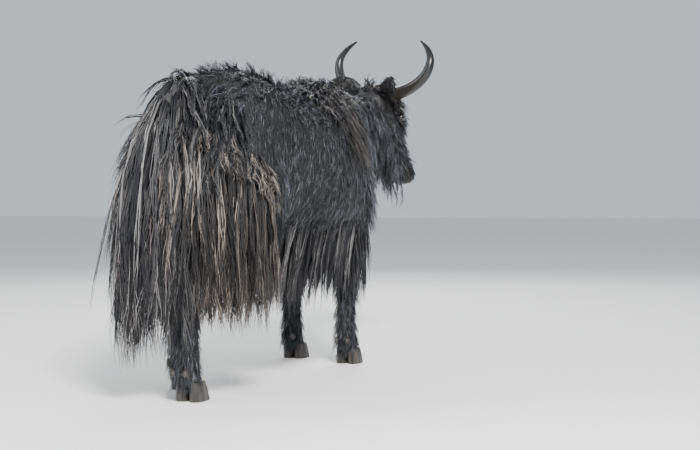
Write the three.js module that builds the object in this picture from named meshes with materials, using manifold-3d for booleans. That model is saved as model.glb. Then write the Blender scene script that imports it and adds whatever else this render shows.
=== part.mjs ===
// A life-size standing yak cow, in millimetres: +Z up, +Y the way the body faces, +X its right side.
// The body is a set of smooth forms, parted where a person would name the parts, and the long coat
// is flat, tapered locks that grow out of those forms and fall along the lie of the hair.
import * as THREE from "three";
import { mergeVertices } from "three/addons/utils/BufferGeometryUtils.js";
import Module from "manifold-3d";

const wasm = await Module();
wasm.setup();

// Driving dimensions
const WITHERS = 1120; // height of the back over the shoulders
const TRUNK = 1300; // length from the breast to the pin bones
const GIRTH = 290; // half the width of the barrel
const HEAD = 425; // length from the back of the skull to the muzzle
const HORN_SPAN = 255; // half the distance between the widest points of the horns
const GAP = 0.4; // clearance between pieces that touch
const FAR = 4000; // longer than the whole animal, for cutting boxes

const UP = new THREE.Vector3(0, 0, 1);
const DOWN = new THREE.Vector3(0, 0, -1);
const RIGHT = new THREE.Vector3(1, 0, 0);
const vec = (x, y, z) => new THREE.Vector3(x, y, z);

// One seeded draw for all that varies in the coat
let seed = 20263;
function draw(low, high) {
  seed = (seed * 1664525 + 1013904223) % 4294967296;
  return low + ((high - low) * seed) / 4294967296;
}

// A closed geometry as a solid
function solidOf(geometry) {
  const bare = geometry.clone();
  bare.deleteAttribute("normal");
  bare.deleteAttribute("uv");
  const merged = mergeVertices(bare, 1e-3);
  return new wasm.Manifold(
    new wasm.Mesh({
      numProp: 3,
      vertProperties: new Float32Array(merged.attributes.position.array),
      triVerts: new Uint32Array(merged.index.array),
    }),
  );
}

// The same geometry, swollen a little along its own normals
function grownSolid(geometry, grow) {
  if (grow === 0) return solidOf(geometry);
  const swollen = geometry.clone();
  swollen.computeVertexNormals();
  const { position, normal } = swollen.attributes;
  for (let i = 0; i < position.count; i++)
    position.setXYZ(
      i,
      position.getX(i) + normal.getX(i) * grow * 1.5,
      position.getY(i) + normal.getY(i) * grow * 1.5,
      position.getZ(i) + normal.getZ(i) * grow * 1.5,
    );
  return solidOf(swollen);
}

// A closed skin over rings of points, all with the same count, each end closed by a fan to its
// middle, or to a tip
function skinOver(rings, tip) {
  const count = rings[0].length;
  const points = rings.flat();
  const faces = [];
  for (let r = 0; r + 1 < rings.length; r++)
    for (let j = 0; j < count; j++) {
      const a = r * count + j;
      const b = r * count + ((j + 1) % count);
      faces.push(a, a + count, b, b, a + count, b + count);
    }
  const middle = (ring) =>
    ring.reduce((sum, p) => sum.add(p), vec(0, 0, 0)).divideScalar(count);
  const first = points.push(middle(rings[0])) - 1;
  const last = points.push(tip ?? middle(rings[rings.length - 1])) - 1;
  const end = (rings.length - 1) * count;
  for (let j = 0; j < count; j++) {
    const next = (j + 1) % count;
    faces.push(first, j, next);
    faces.push(last, end + next, end + j);
  }
  const geometry = new THREE.BufferGeometry().setFromPoints(points);
  geometry.setIndex(faces);
  return geometry;
}

// A smooth body form: stations along a line, each with its middle, half width, reach above (or in
// front of) the line, reach below (or behind) it, and how square its section is
class Form {
  constructor(stations, { side = RIGHT, around = 20, steps = 2 } = {}) {
    this.stations = stations.map(({ at, wide, top, low, square = 2.2 }) => [
      ...at,
      wide,
      top,
      low,
      square,
    ]);
    this.side = side;
    this.around = around;
    this.steps = steps;
    this.last = stations.length - 1;
    this.samples = Array.from({ length: this.last * 4 + 1 }, (_, i) =>
      this.section(i / 4),
    );
  }

  values(t) {
    const i = Math.min(this.last - 1, Math.max(0, Math.floor(t)));
    const f = t - i;
    const get = (k) => this.stations[Math.min(this.last, Math.max(0, k))];
    const [a, b, c, d] = [get(i - 1), get(i), get(i + 1), get(i + 2)];
    return b.map((v, k) => {
      const m0 = (c[k] - a[k]) / 2;
      const m1 = (d[k] - b[k]) / 2;
      const rise = 3 * (c[k] - v) - 2 * m0 - m1;
      const turn = 2 * (v - c[k]) + m0 + m1;
      return v + f * (m0 + f * (rise + f * turn));
    });
  }

  section(t) {
    const v = this.values(t);
    const before = this.values(Math.max(0, t - 0.05));
    const after = this.values(Math.min(this.last, t + 0.05));
    const along = vec(
      after[0] - before[0],
      after[1] - before[1],
      after[2] - before[2],
    ).normalize();
    const side = this.side
      .clone()
      .addScaledVector(along, -this.side.dot(along))
      .normalize();
    const up = side.clone().cross(along);
    const [x, y, z, wide, top, low, square] = v;
    return { at: vec(x, y, z), along, side, up, wide, top, low, square };
  }

  // The point of the surface at t along the form, at an angle from its side towards its top
  point(t, angle, lift = 0) {
    const s = this.section(t);
    const c = Math.cos(angle);
    const n = Math.sin(angle);
    const bend = (v) => Math.sign(v) * Math.abs(v) ** (2 / s.square);
    const reach = (n > 0 ? s.top : s.low) + lift;
    return s.at
      .clone()
      .addScaledVector(s.side, (s.wide + lift) * bend(c))
      .addScaledVector(s.up, reach * bend(n));
  }

  // About how far a point lies outside the surface
  outside(p) {
    let best = Infinity;
    for (const s of this.samples) {
      const d = p.clone().sub(s.at);
      const along = d.dot(s.along);
      const across = Math.abs(d.dot(s.side));
      const rise = d.dot(s.up);
      const tall = rise > 0 ? s.top : s.low;
      const share =
        ((across / s.wide) ** s.square + Math.abs(rise / tall) ** s.square) **
        (1 / s.square);
      const radius = Math.hypot(across, rise);
      const out = share > 1e-6 ? radius * (1 - 1 / share) : -s.wide;
      const near = out > 0 ? Math.hypot(out, along) : Math.max(out, out + Math.abs(along));
      best = Math.min(best, near);
    }
    return best;
  }

  rings() {
    const count = this.last * this.steps;
    return Array.from({ length: count + 1 }, (_, i) =>
      Array.from({ length: this.around }, (_, j) =>
        this.point(i / this.steps, (2 * Math.PI * j) / this.around),
      ),
    );
  }

  solid(grow = 0) {
    return grownSolid(skinOver(this.rings()), grow);
  }
}

// A cutting box between two corners
function block(low, high) {
  const size = high.clone().sub(low);
  const box = new THREE.BoxGeometry(size.x, size.y, size.z);
  box.translate((low.x + high.x) / 2, (low.y + high.y) / 2, (low.z + high.z) / 2);
  return solidOf(box);
}

// An ellipsoid of few faces
function ball(at, across, along, tall, faces = 12, turn = new THREE.Matrix4()) {
  const sphere = new THREE.SphereGeometry(1, faces, Math.round(faces * 0.7));
  sphere.scale(across, along, tall);
  sphere.applyMatrix4(turn);
  sphere.translate(at.x, at.y, at.z);
  return solidOf(sphere);
}

// The largest closed surface of a solid
function largest(solid) {
  const bodies = solid.decompose();
  return bodies.reduce((a, b) => (b.volume() > a.volume() ? b : a));
}


// The same form on the other hand
function handed(stations, hand) {
  return stations.map((s) => ({ ...s, at: [s.at[0] * hand, s.at[1], s.at[2]] }));
}

// Trunk: barrel, shoulders with a low hump, and hindquarters, from the pin bones to the breast
const trunkStation = (along, back, belly, wide, square = 2.3) => {
  const mid = belly + 0.46 * (back - belly);
  return {
    at: [0, along * TRUNK, mid * WITHERS],
    wide: wide * GIRTH,
    top: (back - mid) * WITHERS,
    low: (mid - belly) * WITHERS,
    square,
  };
};
const trunk = new Form(
  [
    trunkStation(-0.5, 0.86, 0.73, 0.18),
    trunkStation(-0.485, 0.9, 0.65, 0.42),
    trunkStation(-0.43, 0.95, 0.55, 0.63),
    trunkStation(-0.34, 0.978, 0.48, 0.77, 2.4),
    trunkStation(-0.235, 0.98, 0.435, 0.84, 2.5),
    trunkStation(-0.1, 0.945, 0.4, 0.93),
    trunkStation(0.04, 0.93, 0.38, 1),
    trunkStation(0.18, 0.965, 0.385, 0.95),
    trunkStation(0.3, 1, 0.4, 0.8),
    trunkStation(0.4, 0.965, 0.435, 0.66),
    trunkStation(0.47, 0.89, 0.5, 0.48),
    trunkStation(0.5, 0.82, 0.57, 0.26),
  ],
  { around: 20 },
);

// Neck: short and deep, turned a little to the right
const neck = new Form(
  [
    { at: [0, 380, 800], wide: 140, top: 240, low: 240 },
    { at: [2, 520, 835], wide: 142, top: 232, low: 235 },
    { at: [22, 640, 885], wide: 130, top: 192, low: 205 },
    { at: [55, 745, 940], wide: 114, top: 152, low: 165 },
    { at: [84, 835, 985], wide: 98, top: 112, low: 122 },
  ],
  { around: 16 },
);

// Head: its own axes, from the back of the skull down to the muzzle
const HEAD_YAW = THREE.MathUtils.degToRad(21);
const HEAD_PITCH = THREE.MathUtils.degToRad(57);
const POLL = vec(96, 868, 1126);
const BROW_DEPTH = 75;
const headRight = vec(Math.cos(HEAD_YAW), -Math.sin(HEAD_YAW), 0);
const headDown = vec(
  Math.sin(HEAD_YAW) * Math.cos(HEAD_PITCH),
  Math.cos(HEAD_YAW) * Math.cos(HEAD_PITCH),
  -Math.sin(HEAD_PITCH),
);
const headFront = headRight.clone().cross(headDown);
const skullBack = POLL.clone().addScaledVector(headFront, -BROW_DEPTH);

// A place on the head: across to its right, down its length and out to its front
function onHead(across, down, front) {
  return skullBack
    .clone()
    .addScaledVector(headRight, across)
    .addScaledVector(headDown, down)
    .addScaledVector(headFront, front);
}
const headStation = (down, wide, top, low, square = 2.2) => ({
  at: onHead(0, down * HEAD, 0).toArray(),
  wide,
  top,
  low,
  square,
});
const face = new Form(
  [
    headStation(-0.09, 44, 40, 50),
    headStation(-0.02, 84, 72, 92),
    headStation(0.1, 99, 86, 112),
    headStation(0.22, 103, 88, 118),
    headStation(0.34, 100, 82, 120, 2.4),
    headStation(0.46, 84, 73, 108),
    headStation(0.6, 66, 62, 88),
    headStation(0.74, 57, 53, 69),
    headStation(0.86, 62, 50, 60, 2.5),
    headStation(0.95, 62, 46, 52, 2.6),
    headStation(1, 46, 30, 34, 2.4),
  ],
  { side: headRight, around: 16 },
);

// Legs: upper part, shank down to the coronet, two claws and two dewclaws
const HOOF_TOP = 62;
const hindStations = (foot) => [
  { at: [118, -400, 850], wide: 96, top: 130, low: 130 },
  { at: [150, -420, 720], wide: 98, top: 160, low: 150 },
  { at: [152, -425, 590], wide: 84, top: 130, low: 125 },
  { at: [foot.x * 0.45 + 75, foot.y * 0.5 - 210, 470], wide: 58, top: 78, low: 78 },
  { at: [foot.x * 0.7 + 28, foot.y - 12, 355], wide: 40, top: 48, low: 54 },
  { at: [foot.x * 0.85 + 12, foot.y - 14, 240], wide: 33, top: 37, low: 39 },
  { at: [foot.x, foot.y - 12, 125], wide: 40, top: 41, low: 44 },
  { at: [foot.x, foot.y - 2, HOOF_TOP - 8], wide: 42, top: 42, low: 40 },
];
const foreStations = (foot) => [
  { at: [150, 400, 760], wide: 74, top: 120, low: 120 },
  { at: [158, 390, 620], wide: 76, top: 108, low: 112 },
  { at: [152, 385, 500], wide: 62, top: 82, low: 84 },
  { at: [foot.x * 0.5 + 73, foot.y - 34, 400], wide: 48, top: 54, low: 56 },
  { at: [foot.x * 0.8 + 30, foot.y - 16, 300], wide: 44, top: 48, low: 44 },
  { at: [foot.x * 0.9 + 15, foot.y - 16, 200], wide: 34, top: 37, low: 38 },
  { at: [foot.x, foot.y - 14, 118], wide: 40, top: 41, low: 44 },
  { at: [foot.x, foot.y - 2, HOOF_TOP - 8], wide: 42, top: 42, low: 40 },
];
const LEG_CUT = { hind: 425, fore: 435 };
const FEET = {
  hind_right: { kind: "hind", hand: 1, foot: vec(32, -618, 0) },
  hind_left: { kind: "hind", hand: -1, foot: vec(112, -410, 0) },
  fore_right: { kind: "fore", hand: 1, foot: vec(135, 425, 0) },
  fore_left: { kind: "fore", hand: -1, foot: vec(135, 500, 0) },
};
const legForms = {};
for (const [name, { kind, hand, foot }] of Object.entries(FEET)) {
  const stations = kind === "hind" ? hindStations(foot) : foreStations(foot);
  legForms[name] = new Form(handed(stations, hand), { around: 12, steps: 1 });
}

// Tail: the dock, a fleshy rod, and the curtain of long hair round it
const dock = new Form(
  [
    { at: [4, -560, 1010], wide: 38, top: 36, low: 36 },
    { at: [4, -662, 990], wide: 44, top: 38, low: 38 },
    { at: [-6, -712, 910], wide: 54, top: 30, low: 38 },
    { at: [-36, -728, 770], wide: 78, top: 28, low: 38 },
    { at: [-76, -738, 600], wide: 104, top: 28, low: 36 },
  ],
  { around: 12 },
);
// How far a point lies outside a set of forms, and the way out
function clearOf(forms, p) {
  const out = (q) => Math.min(...forms.map((form) => form.outside(q)));
  const here = out(p);
  const e = 4;
  const way = vec(
    out(vec(p.x + e, p.y, p.z)) - here,
    out(vec(p.x, p.y + e, p.z)) - here,
    out(vec(p.x, p.y, p.z + e)) - here,
  );
  if (way.length() < 1e-4) way.set(0, 0, 1);
  return { here, way: way.normalize() };
}

// A flat, tapered lock: sunk at its root, laid along the body, then hanging to its tip. lift keeps
// a lock of an upper tier clear of the locks that lie under it.
const LOCK_PARTS = 3;
const LOCK_SUNK = 22;
const LOCK_WIDTHS = [0.8, 1, 0.98, 0.66];
const LOCK_DEPTHS = [1, 1, 0.9, 0.65];
function lockOf({ root, lie, length, wide, thick, over, weight = 0.5, lift = 0, drift }) {
  const step = length / LOCK_PARTS;
  const start = clearOf(over, root);
  const path = [];
  const faces = [start.way.clone(), start.way.clone()];
  const p = root.clone().addScaledVector(start.way, -start.here);
  path.push(p.clone().addScaledVector(start.way, -LOCK_SUNK).addScaledVector(lie, -10));
  path.push(p.addScaledVector(start.way, thick * 0.3).clone());
  const way = lie.clone();
  for (let k = 1; k <= LOCK_PARTS; k++) {
    way.addScaledVector(DOWN, weight);
    if (drift) way.add(drift);
    p.addScaledVector(way.normalize(), step);
    const { here, way: outward } = clearOf(over, p);
    const need = thick * 0.55 + lift;
    if (here < need) p.addScaledVector(outward, need - here);
    path.push(p.clone());
    const last = faces[faces.length - 1];
    faces.push(here < 160 ? outward.lerp(last, 0.3).normalize() : last.clone());
  }
  const tip = path.pop();
  const rings = path.map((at, k) => {
    const after = path[k + 1] ?? tip;
    const along = after.clone().sub(path[Math.max(0, k - 1)]).normalize();
    const side = along.clone().cross(faces[k]).normalize();
    const out = side.clone().cross(along).normalize();
    const w = (wide / 2) * LOCK_WIDTHS[k];
    const t = (thick / 2) * LOCK_DEPTHS[k];
    return [
      at.clone().addScaledVector(side, w).addScaledVector(out, -0.6 * t),
      at.clone().addScaledVector(out, t),
      at.clone().addScaledVector(side, -w).addScaledVector(out, -0.6 * t),
    ];
  });
  const geometry = skinOver(rings, tip);
  return { solid: solidOf(geometry), grown: grownSolid(geometry, GAP) };
}

const nodes = {};

// Divisions of the trunk
const SHOULDER_CUT = 235;
const HIP_CUT = -235;
const FLANK_TOP = 640;
const FLANK_IN = 165;
const half = GAP / 2;
const trunkSolid = trunk.solid();
const trunkGrown = trunk.solid(GAP);
const between = (low, high) => block(vec(-FAR, low, -FAR), vec(FAR, high, FAR));
const below = (z) => block(vec(-FAR, -FAR, -FAR), vec(FAR, FAR, z));
const above = (z) => block(vec(-FAR, -FAR, z), vec(FAR, FAR, FAR));
function flankBox(hand, grow) {
  const inner = (FLANK_IN - grow) * hand;
  return block(
    vec(Math.min(inner, FAR * hand), HIP_CUT + half - grow, 0),
    vec(Math.max(inner, FAR * hand), SHOULDER_CUT - half + grow, FLANK_TOP + grow),
  );
}
nodes.hindquarters = trunkSolid.intersect(between(-FAR, HIP_CUT - half));
nodes.shoulders = trunkSolid.intersect(between(SHOULDER_CUT + half, FAR));
nodes.barrel = trunkSolid
  .intersect(between(HIP_CUT + half, SHOULDER_CUT - half))
  .subtract(flankBox(1, GAP))
  .subtract(flankBox(-1, GAP));

// Flanks: the low sides of the barrel, padded with coat
const hands = { right: 1, left: -1 };
const PAD = 24;
for (const [name, hand] of Object.entries(hands)) {
  const pad = new Form(
    [
      { at: [214 * hand, HIP_CUT - 20, 520], wide: 26, top: 90, low: 90 },
      { at: [236 * hand, -120, 510], wide: 34, top: 100, low: 105 },
      { at: [242 * hand, 60, 505], wide: 34, top: 105, low: 110 },
      { at: [220 * hand, SHOULDER_CUT + 20, 515], wide: 26, top: 90, low: 100 },
    ],
    { around: 12, steps: 1 },
  );
  const room = between(HIP_CUT + half, SHOULDER_CUT - half);
  nodes[`${name}_flank`] = trunkSolid
    .intersect(flankBox(hand, 0))
    .add(pad.solid().subtract(trunkGrown).intersect(room))
    .add(pad.solid().intersect(flankBox(hand, 0)));
}

// Neck, head and muzzle
const faceSolid = face.solid();
const faceGrown = face.solid(GAP);
nodes.neck = neck.solid().subtract(trunkGrown).subtract(faceGrown);

// Eyes: balls under two lids, set in the sides of the head
const EYE = 19;
const turnHead = new THREE.Matrix4().makeBasis(headRight, headDown, headFront);
const eyeAt = (hand) => onHead(91 * hand, 124, 34);
const MUZZLE_CUT = 0.83;
let headSolid = faceSolid;
for (const hand of Object.values(hands)) {
  const at = eyeAt(hand);
  headSolid = headSolid
    .add(ball(at, 26, 34, 29, 8, turnHead))
    .subtract(ball(onHead(111 * hand, 124, 34), 12, 20, 10, 8, turnHead))
    .subtract(ball(at, EYE + GAP, EYE + GAP, EYE + GAP, 10, turnHead));
}
for (const [name, hand] of Object.entries(hands))
  nodes[`${name}_eye`] = ball(eyeAt(hand), EYE, EYE, EYE, 10, turnHead);

// Mouth: a line between the lips, cut a little way in all round
const inner = new Form(
  [
    headStation(0.7, 42, 38, 50),
    headStation(0.84, 48, 38, 46),
    headStation(0.96, 48, 34, 38),
  ],
  { side: headRight, around: 12, steps: 1 },
).solid();
const mouthSlab = solidOf(new THREE.BoxGeometry(300, 200, 4).applyMatrix4(
  new THREE.Matrix4().makeRotationX(-0.06).premultiply(turnHead).setPosition(onHead(0, 422, -24)),
)).subtract(inner);
headSolid = headSolid.subtract(mouthSlab);

// Nostrils: slanting hollows with swollen rims, either side of the muzzle
for (const hand of Object.values(hands)) {
  const slant = new THREE.Matrix4().makeRotationZ(0.5 * hand).premultiply(turnHead);
  headSolid = headSolid
    .add(ball(onHead(36 * hand, 412, 14), 19, 24, 22, 8, slant))
    .subtract(ball(onHead(42 * hand, 424, 16), 9, 15, 12, 6, slant));
}
const muzzleBox = solidOf(new THREE.BoxGeometry(600, 400, 600).applyMatrix4(
  new THREE.Matrix4().copy(turnHead).setPosition(onHead(0, MUZZLE_CUT * HEAD + 200 + half, 0)),
));
const crownBox = solidOf(new THREE.BoxGeometry(600, 800, 600).applyMatrix4(
  new THREE.Matrix4().copy(turnHead).setPosition(onHead(0, MUZZLE_CUT * HEAD - 400 - half, 0)),
));
nodes.head = headSolid.intersect(crownBox);
nodes.muzzle = headSolid.intersect(muzzleBox);

// Horns: out from the poll, up, and in again at the tips
const HORN_ROLL = THREE.MathUtils.degToRad(4.5);
const HORN_YAW = THREE.MathUtils.degToRad(18);
const hornRight = vec(Math.cos(HORN_YAW), -Math.sin(HORN_YAW), 0);
hornRight.multiplyScalar(Math.cos(HORN_ROLL));
hornRight.addScaledVector(UP, -Math.sin(HORN_ROLL));
const hornFore = vec(Math.sin(HORN_YAW), Math.cos(HORN_YAW), 0);
const hornUp = hornRight.clone().cross(hornFore);
const onCrown = (across, fore, up) =>
  POLL.clone()
    .addScaledVector(hornRight, across)
    .addScaledVector(hornFore, fore)
    .addScaledVector(hornUp, up);
const hornForms = {};
for (const [name, hand] of Object.entries(hands)) {
  const station = (across, fore, up, radius) => ({
    at: onCrown(across * HORN_SPAN * hand, fore, up).toArray(),
    wide: radius,
    top: radius,
    low: radius,
    square: 2,
  });
  hornForms[name] = new Form(
    [
      station(0.2, -8, -32, 28),
      station(0.44, -8, -16, 28),
      station(0.71, -4, 12, 25),
      station(0.93, 4, 62, 21),
      station(0.99, 14, 122, 16.5),
      station(0.88, 26, 172, 11),
      station(0.7, 36, 208, 4),
    ],
    { side: hornFore, around: 10 },
  );
  nodes[`${name}_horn`] = hornForms[name].solid().subtract(faceGrown);
}

// Ears: cupped leaves that droop behind the horns
const earForms = {};
for (const [name, hand] of Object.entries(hands)) {
  const station = (across, fore, up, wide, thick) => ({
    at: onCrown(across * hand, fore, up).toArray(),
    wide,
    top: thick,
    low: thick,
    square: 2,
  });
  const leaf = (shift, share, thick) => new Form(
    [
      station(70, -58 + shift, -8, 22 * share, 16 * thick),
      station(100, -78 + shift, 8, 33 * share, 17 * thick),
      station(134, -98 + shift, 12, 38 * share, 14 * thick),
      station(164, -116 + shift, 0, 29 * share, 10 * thick),
      station(186, -130 + shift, -18, 8 * share, 4 * thick),
    ],
    { side: hornUp, around: 10, steps: 1 },
  );
  earForms[name] = leaf(0, 1, 1);
  nodes[`${name}_ear`] = earForms[name]
    .solid()
    .subtract(leaf(12, 0.8, 0.75).solid())
    .subtract(faceGrown)
    .subtract(hornForms[name].solid(GAP));
}
nodes.neck = nodes.neck
  .subtract(earForms.right.solid(GAP))
  .subtract(earForms.left.solid(GAP));

// Legs, the thighs padded with coat on their outer and back sides
const thighPads = {};
for (const [name, hand] of [["hind_right", 1], ["hind_left", -1]])
  thighPads[name] = new Form(
    [
      { at: [104 * hand, -520, 860], wide: 70, top: 90, low: 90 },
      { at: [132 * hand, -490, 780], wide: 98, top: 150, low: 128 },
      { at: [154 * hand, -460, 680], wide: 106, top: 176, low: 158 },
      { at: [160 * hand, -450, 590], wide: 98, top: 160, low: 150 },
      { at: [160 * hand, -460, 530], wide: 70, top: 110, low: 100 },
    ],
    { around: 16, steps: 1 },
  );
for (const [name, form] of Object.entries(legForms)) {
  const { kind, hand, foot } = FEET[name];
  const cut = LEG_CUT[kind];
  const whole = form.solid().subtract(trunkGrown);
  const shank = whole.intersect(below(cut - half)).intersect(above(HOOF_TOP));
  nodes[`${name}_shank`] = shank;
  let upper = whole.intersect(above(cut + half));
  if (kind === "hind") upper = upper.add(thighPads[name].solid().subtract(trunkGrown));
  nodes[`${name}_${kind === "hind" ? "thigh" : "arm"}`] = upper;

  // Hooves: two claws with flat soles on the ground, and two dewclaws behind the fetlock
  for (const [place, turn] of Object.entries({ inner: -hand, outer: hand })) {
    const x = foot.x * hand;
    const claw = new Form(
      [
        { at: [x + turn * 21, foot.y + 1, HOOF_TOP + 9], wide: 21, top: 37, low: 34 },
        { at: [x + turn * 24, foot.y + 10, 28], wide: 24, top: 48, low: 38 },
        { at: [x + turn * 25, foot.y + 18, -20], wide: 25, top: 60, low: 46 },
      ],
      { around: 10, steps: 1 },
    );
    const side = turn > 0 ? [x + 3, x + FAR] : [x - FAR, x - 3];
    const room = block(vec(side[0], -FAR, 0), vec(side[1], FAR, HOOF_TOP - GAP));
    nodes[`${name}_hoof_${place}`] = claw.solid().intersect(room);
    const spur = ball(vec(x + turn * 22, foot.y - 58, 96), 11, 14, 17, 6);
    nodes[`${name}_dewclaw_${place}`] = spur.subtract(form.solid(GAP));
  }
}

// Udder, between the thighs, with four teats
let bag = ball(vec(0, -318, 440), 74, 96, 86, 10);
for (const x of [-30, 30])
  for (const y of [-352, -292])
    bag = bag.add(ball(vec(x, y, 356), 11, 11, 34, 6));
const HIND = ["hind_right", "hind_left"];
const FORE = ["fore_right", "fore_left"];
const clearOfHind = (solid) =>
  HIND.reduce(
    (rest, name) =>
      rest.subtract(legForms[name].solid(GAP)).subtract(thighPads[name].solid(GAP)),
    solid,
  );
nodes.udder = clearOfHind(bag.subtract(trunkGrown));

// Brisket: the fold under the breast
const brisketForm = new Form(
  [
    { at: [16, 620, 700], wide: 44, top: 70, low: 60 },
    { at: [8, 590, 600], wide: 58, top: 80, low: 70 },
    { at: [2, 545, 500], wide: 56, top: 84, low: 80 },
    { at: [0, 515, 430], wide: 24, top: 40, low: 40 },
  ],
  { around: 14, steps: 1 },
);
nodes.brisket = FORE.reduce(
  (solid, name) => solid.subtract(legForms[name].solid(GAP)),
  brisketForm.solid().subtract(trunkGrown).subtract(neck.solid(GAP)),
);
nodes.tail = clearOfHind(dock.solid().subtract(trunkGrown));

// The long coat. Every lock belongs to the node it grows from, hangs clear of the ground and of
// the other nodes, and its length and width vary a little with the draw.
const coat = {};
function grow(node, lock) {
  coat[node] ??= [];
  const vary = draw(0.88, 1.12);
  const length = Math.min(lock.length * vary, lock.reach ? lock.root.z - lock.reach : FAR);
  coat[node].push(lockOf({ ...lock, length, wide: lock.wide * draw(0.85, 1.15) }));
}

// The outermost point of some forms on a level ray from a middle
function outermost(forms, x, y, z, heading) {
  const way = vec(Math.cos(heading), Math.sin(heading), 0);
  for (let r = 600; r > 0; r -= 4) {
    const p = vec(x, y, z).addScaledVector(way, r);
    if (forms.some((form) => form.outside(p) <= 0)) return p;
  }
  return vec(x, y, z);
}
const degrees = THREE.MathUtils.degToRad;
const spread = (low, high, count) =>
  Array.from({ length: count }, (_, i) => low + ((high - low) * (i + 0.5)) / count);

// Tail: tiers down the dock, longest at its end
const TAIL_TIERS = [
  { t: 1.3, turns: [-125, -55], length: 330, wide: 58, lift: 40 },
  { t: 2.1, turns: [-170, -90, -10], length: 400, wide: 62, lift: 28 },
  { t: 2.9, turns: [-185, -125, -55, 5], length: 460, wide: 64, lift: 14 },
  { t: 3.75, turns: [-175, -130, -90, -50, -5, 90], length: 500, wide: 66, lift: 0 },
];
for (const { t, turns, length, wide, lift } of TAIL_TIERS)
  for (const turn of turns) {
    const aside = Math.cos(degrees(turn));
    grow("tail", {
      root: dock.point(t, degrees(turn)),
      lie: vec(0.24 * aside - 0.14, -0.08, -1).normalize(),
      length,
      wide,
      thick: 20,
      lift,
      over: [dock],
      drift: vec(0.06 * aside - 0.05, -0.01, 0),
      reach: 130,
    });
  }

// Thighs: tiers below a line that falls from the tail root to the stifle
const THIGH_TIERS = [
  { drop: 10, count: 5, length: 270, lift: 28 },
  { drop: 120, count: 5, length: 310, lift: 14 },
  { drop: 235, count: 4, length: 330, lift: 0 },
];
for (const [name, hand] of [["hind_right", 1], ["hind_left", -1]]) {
  const over = [trunk, thighPads[name], legForms[name]];
  THIGH_TIERS.forEach(({ drop, count, length, lift }, tier) => {
    for (const turn of spread(-104 + 8 * tier, 30 + 8 * tier, count)) {
      const line = 850 - 1.15 * (turn + 98);
      const heading = hand > 0 ? degrees(turn) : Math.PI - degrees(turn);
      const z = Math.max(line - drop, 515);
      grow(`${name}_thigh`, {
        root: outermost([thighPads[name]], 140 * hand, -460, z, heading),
        lie: vec(0.1 * hand, -0.06, -1).normalize(),
        length: Math.max(length, z - 500),
        wide: 68,
        thick: 20,
        lift,
        over,
        drift: vec(0.02 * hand, -0.02, 0),
        reach: draw(250, 300),
      });
    }
  });
}

// Flanks: a skirt in two tiers
for (const [name, hand] of Object.entries(hands))
  [
    { z: 585, count: 5, reach: 300, lift: 14 },
    { z: 500, count: 5, reach: 235, lift: 0 },
  ].forEach(({ z, count, reach, lift }, tier) => {
    for (const y of spread(HIP_CUT + 6 + tier * 26, SHOULDER_CUT - 26 + tier * 20, count)) {
      const root = outermost([trunk], 0, y, z, hand > 0 ? 0 : Math.PI);
      root.x += PAD * hand;
      grow(`${name}_flank`, {
        root,
        lie: vec(0.05 * hand, -0.12, -1).normalize(),
        length: 400,
        wide: 76,
        thick: 20,
        lift: lift + PAD,
        over: [trunk],
        reach: reach + draw(-15, 25),
      });
    }
  });

// Shoulders: the skirt goes on over the arms, and the hump carries a short crest
for (const hand of Object.values(hands)) {
  for (const y of spread(240, 400, 2))
    grow("shoulders", {
      root: outermost([trunk], 0, y, 620, hand > 0 ? 0 : Math.PI),
      lie: vec(0.1 * hand, -0.12, -1).normalize(),
      length: 330,
      wide: 58,
      thick: 20,
      over: [trunk, legForms[hand > 0 ? "fore_right" : "fore_left"]],
      reach: 330 + draw(0, 60),
    });
  for (const t of spread(7.2, 9.6, 3))
    grow("shoulders", {
      root: trunk.point(t, degrees(90 - hand * draw(8, 22))),
      lie: vec(0.5 * hand, -0.8, 0.2).normalize(),
      length: 105,
      wide: 46,
      thick: 16,
      over: [trunk],
      weight: 0.3,
    });
}

// Rump and back: a few tufts along the spine
for (const hand of Object.values(hands)) {
  for (const t of spread(1.2, 4.2, 3))
    grow("hindquarters", {
      root: trunk.point(t, degrees(90 - hand * draw(8, 22))),
      lie: vec(0.45 * hand, -0.9, 0.1).normalize(),
      length: 110,
      wide: 48,
      thick: 16,
      over: [trunk],
      weight: 0.3,
    });
  for (const t of spread(4.8, 6.8, 2))
    grow("barrel", {
      root: trunk.point(t, degrees(90 - hand * draw(8, 18))),
      lie: vec(0.4 * hand, -0.9, 0.1).normalize(),
      length: 90,
      wide: 44,
      thick: 14,
      over: [trunk],
      weight: 0.3,
    });
}

// Brisket: a fringe round the fold
const BRISKET_TIERS = [
  { t: 0.9, turns: [90, 140, 40] },
  { t: 1.5, turns: [65, 115, 0, 180] },
  { t: 2.4, turns: [90, 20, 160] },
];
BRISKET_TIERS.forEach(({ t, turns }, tier) => {
  for (const turn of turns)
    grow("brisket", {
      root: brisketForm.point(t, degrees(turn)),
      lie: vec(0.15 * Math.cos(degrees(turn)), -0.1, -1).normalize(),
      length: 190,
      wide: 52,
      thick: 18,
      lift: 22 - 11 * tier,
      over: [brisketForm],
      reach: 270 + draw(0, 40),
    });
});

// Neck: rows down its sides to the throat
[1.5, 2.4, 3.3].forEach((t, row) => {
  const turns = row % 2 ? [66, 22, -22, -90, 114, 158, 202] : [44, 0, -52, 136, 180, 232];
  for (const turn of turns) {
    const aside = Math.cos(degrees(turn));
    grow("neck", {
      root: neck.point(t, degrees(turn)),
      lie: vec(0.2 * aside, -0.45, -0.85).normalize(),
      length: Math.sin(degrees(turn)) < -0.5 ? 200 : 160,
      wide: 64,
      thick: 17,
      lift: 4 * row,
      over: [neck, trunk],
      weight: 0.35,
    });
  }
});

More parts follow.
